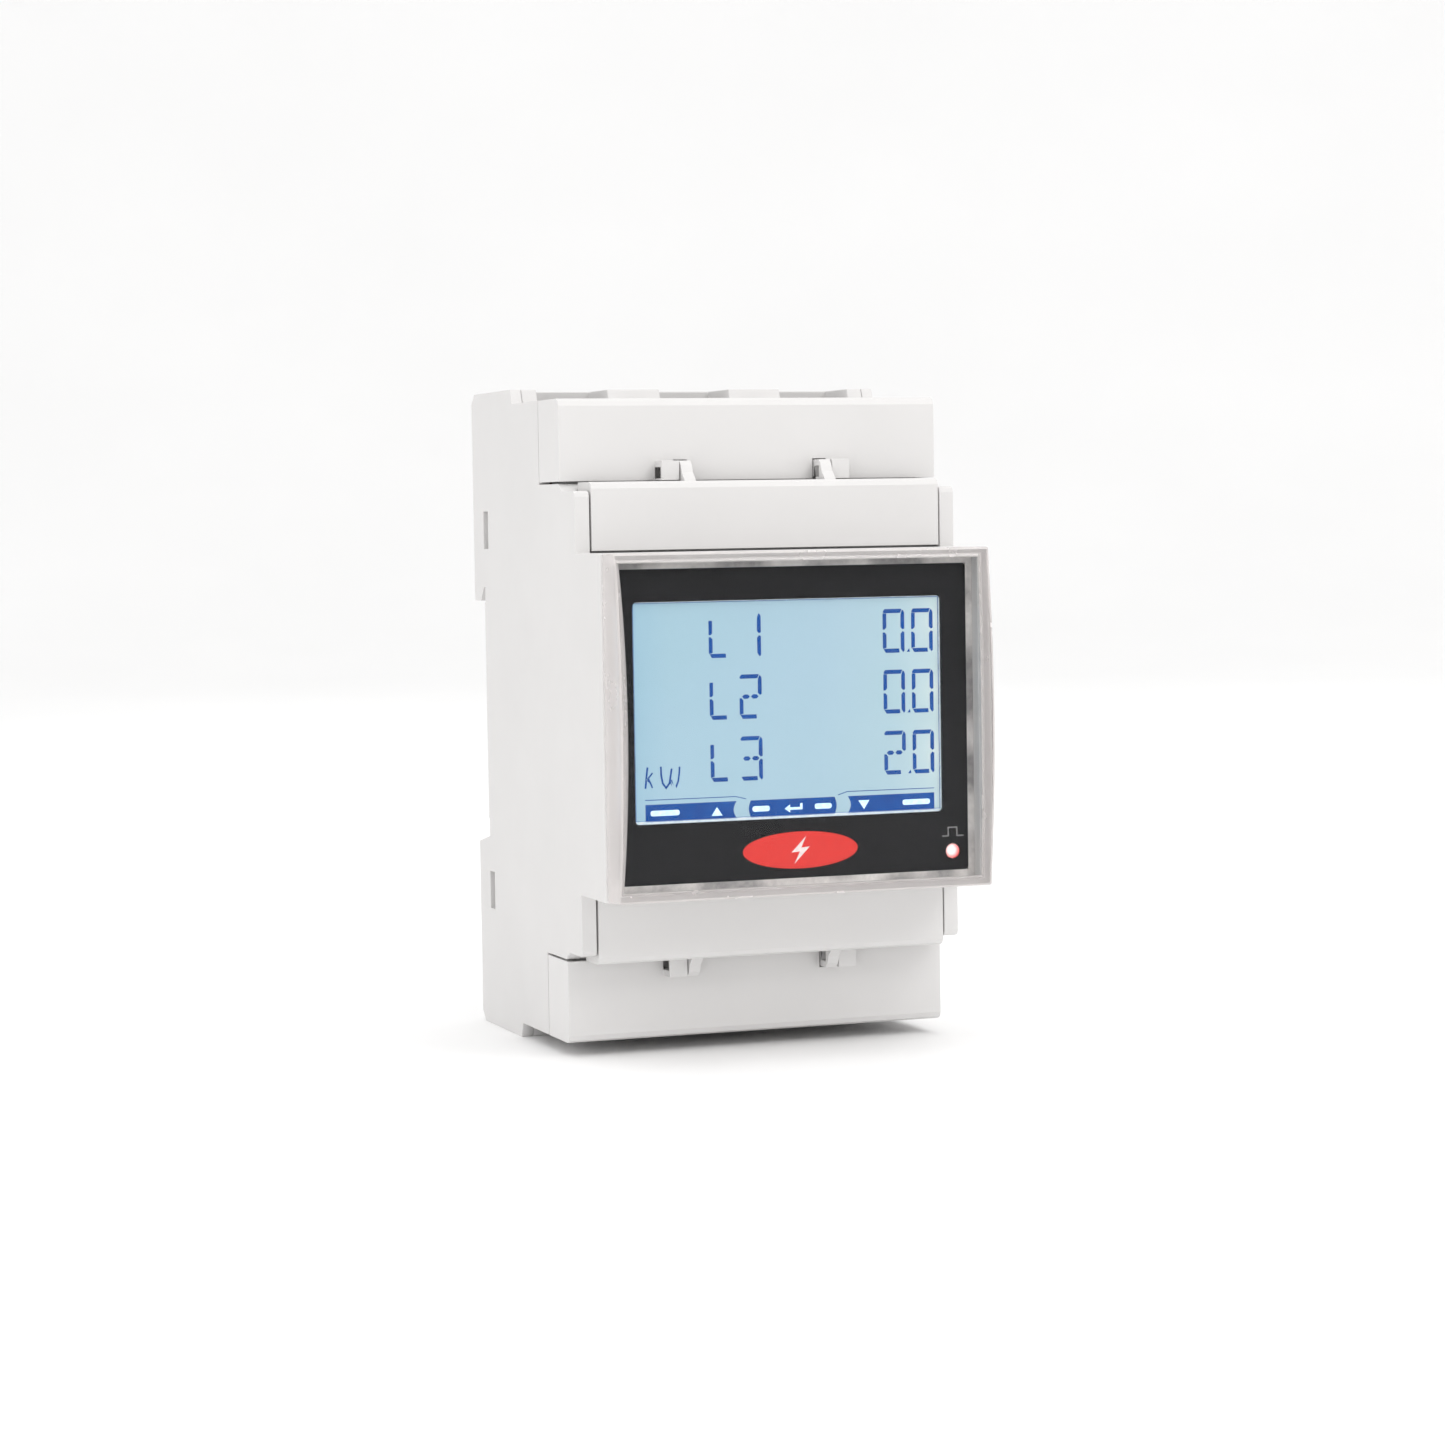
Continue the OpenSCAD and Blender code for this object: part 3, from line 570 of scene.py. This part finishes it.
# bright edges of the display's glass, and the dark blue line inside them
x0, z0, x1, z1 = LCD
plate("lcd_edge_light", [
    round_rect(x0 - 0.15, z0 - 0.15, x1 + 0.15, z1 + 0.15, 0.6),
    [(x0 + 0.26, z0 + 0.36), (x1 - 0.10, z0 + 0.36), (x1 - 0.10, z1 - 0.10), (x0 + 0.26, z1 - 0.10)],
], LCD_FRONT + 0.03, 0.02, bezel_print)
plate("lcd_edge_line", [
    [(x0 + 0.26, z0 + 0.36), (x1 - 0.10, z0 + 0.36), (x1 - 0.10, z1 - 0.10), (x0 + 0.26, z1 - 0.10)],
    [(x0 + 0.36, z0 + 0.42), (x1 - 0.20, z0 + 0.42), (x1 - 0.20, z1 - 0.20), (x0 + 0.36, z1 - 0.20)],
], LCD_FRONT + 0.028, 0.018, blue_line)

# prints on the black panel: a plain red oval with a bolt, both with a faint painted glow standing in for
# light on them, and the pulse sign over the LED
BOLT = [(0.75, -15.15), (-1.35, -17.25), (-0.15, -17.15), (-0.95, -18.75), (1.25, -16.55), (0.05, -16.65)]
PULSE = [(20.25, -16.06), (21.12, -16.06), (21.12, -14.94), (22.38, -14.94), (22.38, -16.06), (23.35, -16.06)]
plate("oval_badge", [oval(-0.05, -16.95, 8.1, 2.43)], PRINT_FRONT + 0.008, 0.006,
      red_print_painted_glow, ON_PANEL)
plate("badge_bolt", [BOLT], PRINT_FRONT + 0.013, 0.004, white_print_painted_glow, ON_PANEL)
plate("pulse_sign", [stroke(PULSE, 0.17)], PRINT_FRONT + 0.010, 0.004,
      grey_print, ON_PANEL)


# ---------------------------------------------------------------- clear window

def make_window():
    """A closed clear cap, hollow behind its crowned front, with sloping side walls on the nose's rim."""
    rim, edge, crown = 53.7, 56.3, 57.98
    outer_x, outer_z = 26.9, 22.5
    inner_x, inner_z = 25.6, 21.4
    front_wall = 2.0
    draft, draft_depth = 0.8, 2.9
    bow = (outer_z ** 2 + (crown - edge) ** 2) / (2 * (crown - edge))
    rows = 36
    bm = bmesh.new()
    walls = []

    def shell(half_x, half_z, inset):
        """Corner points of each row: left and right at the rim, left and right at the front."""
        out = []
        for i in range(rows + 1):
            z = -half_z + 2 * half_z * i / rows
            front = crown - bow + math.sqrt((bow - inset) ** 2 - z ** 2)
            lean = draft * min(1, (front - rim) / draft_depth)
            out.append([bm.verts.new((x * MM, -f * MM, z * MM)) for x, f in (
                (-half_x, rim), (half_x, rim), (-half_x + lean, front), (half_x - lean, front))])
        for a, b in zip(out, out[1:]):
            bm.faces.new((a[2], a[3], b[3], b[2]))
            walls.append(bm.faces.new((a[0], a[2], b[2], b[0])))
            walls.append(bm.faces.new((a[1], a[3], b[3], b[1])))
        for r in (out[0], out[-1]):
            walls.append(bm.faces.new((r[0], r[1], r[3], r[2])))
        return out

    outer = shell(outer_x, outer_z, 0)
    inner = shell(inner_x, inner_z, front_wall)
    for i in range(rows):
        for k in (0, 1):
            walls.append(bm.faces.new((outer[i][k], outer[i + 1][k], inner[i + 1][k], inner[i][k])))
    for i in (0, rows):
        walls.append(bm.faces.new((outer[i][0], outer[i][1], inner[i][1], inner[i][0])))
    for face in walls:
        face.material_index = 1
    bmesh.ops.recalc_face_normals(bm, faces=bm.faces)
    mesh = bpy.data.meshes.new("window_clear")
    bm.to_mesh(mesh)
    bm.free()
    which = [p.material_index for p in mesh.polygons]
    obj = finish_piece("window_clear", mesh, clear, True)
    mesh.materials.append(milky)
    mesh.polygons.foreach_set("material_index", which)
    edge_mod = obj.modifiers.new("edge", "BEVEL")
    edge_mod.width = 0.3 * MM
    edge_mod.segments = 3
    edge_mod.limit_method = "ANGLE"
    edge_mod.angle_limit = math.radians(30)
    edge_mod.material = 1
    edge_mod.harden_normals = True
    return obj


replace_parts(make_window(), "window")


# ---------------------------------------------------------------- floor, light and camera

def make_stage():
    """A pale floor that curves up all round, far outside the object."""
    bm = bmesh.new()
    floor_z, flat_r, curve_r = -0.045, 1.1, 0.8
    profile = [(0.4, 0.0), (flat_r, 0.0)]
    for a in range(6, 73, 6):
        rise = math.radians(a)
        profile.append((flat_r + curve_r * math.sin(rise), curve_r - curve_r * math.cos(rise)))
    ring_n = 96
    rings = []
    for r, z in profile:
        turns = [2 * math.pi * k / ring_n for k in range(ring_n)]
        rings.append([bm.verts.new((r * math.cos(t), r * math.sin(t), z + floor_z)) for t in turns])
    bm.faces.new(rings[0])
    for a, b in zip(rings, rings[1:]):
        for k in range(ring_n):
            n = (k + 1) % ring_n
            bm.faces.new((a[k], a[n], b[n], b[k]))
    bmesh.ops.recalc_face_normals(bm, faces=bm.faces)
    mesh = bpy.data.meshes.new("floor")
    bm.to_mesh(mesh)
    bm.free()
    for p in mesh.polygons:
        p.use_smooth = True
    mesh.materials.append(make_floor())
    obj = bpy.data.objects.new("floor", mesh)
    bpy.context.scene.collection.objects.link(obj)


make_stage()

world = bpy.data.worlds.new("world")
bpy.context.scene.world = world
world.use_nodes = True
background = world.node_tree.nodes["Background"]
background.inputs["Color"].default_value = (1.0, 0.995, 0.99, 1)
background.inputs["Strength"].default_value = 0.62


def area(name, place, aim, size, power, color=(1, 1, 1)):
    light = bpy.data.lights.new(name, "AREA")
    light.shape = "RECTANGLE"
    light.size, light.size_y = size
    light.energy = power
    light.color = color
    obj = bpy.data.objects.new(name, light)
    obj.location = place
    obj.rotation_mode = "QUATERNION"
    obj.rotation_quaternion = (Vector(aim) - Vector(place)).to_track_quat("-Z", "Y")
    bpy.context.scene.collection.objects.link(obj)


area("key", (0.50, -0.80, 0.70), (0, -0.02, 0), (0.5, 0.5), 3.2, (1.0, 0.99, 0.98))
area("fill", (-0.8, -0.30, 0.45), (0, -0.02, 0), (0.6, 0.6), 1.2)
area("top", (0, 0, 1.5), (0, 0, 0), (2.4, 2.4), 19)

AZ, EL, ROLL = math.radians(-19.9), math.radians(3.29), math.radians(-0.9)
DISTANCE = 491.29 * MM
LENS, SENSOR = 88.3106, 36
AIM = Vector((-0.34, -25.0, -1.44)) * MM
back = Vector((math.sin(AZ) * math.cos(EL), -math.cos(AZ) * math.cos(EL), math.sin(EL)))
right = Vector((math.cos(AZ), math.sin(AZ), 0))
up = back.cross(right)
right, up = right * math.cos(ROLL) + up * math.sin(ROLL), up * math.cos(ROLL) - right * math.sin(ROLL)
camera = bpy.data.objects.new("camera", bpy.data.cameras.new("camera"))
camera.data.lens = LENS
camera.data.sensor_width = SENSOR
camera.data.clip_start = 0.01
turned = Matrix((right, up, back)).transposed().to_4x4()
camera.matrix_world = Matrix.Translation(AIM + back * DISTANCE) @ turned
bpy.context.scene.collection.objects.link(camera)
bpy.context.scene.camera = camera
bpy.context.scene.view_settings.view_transform = "Standard"
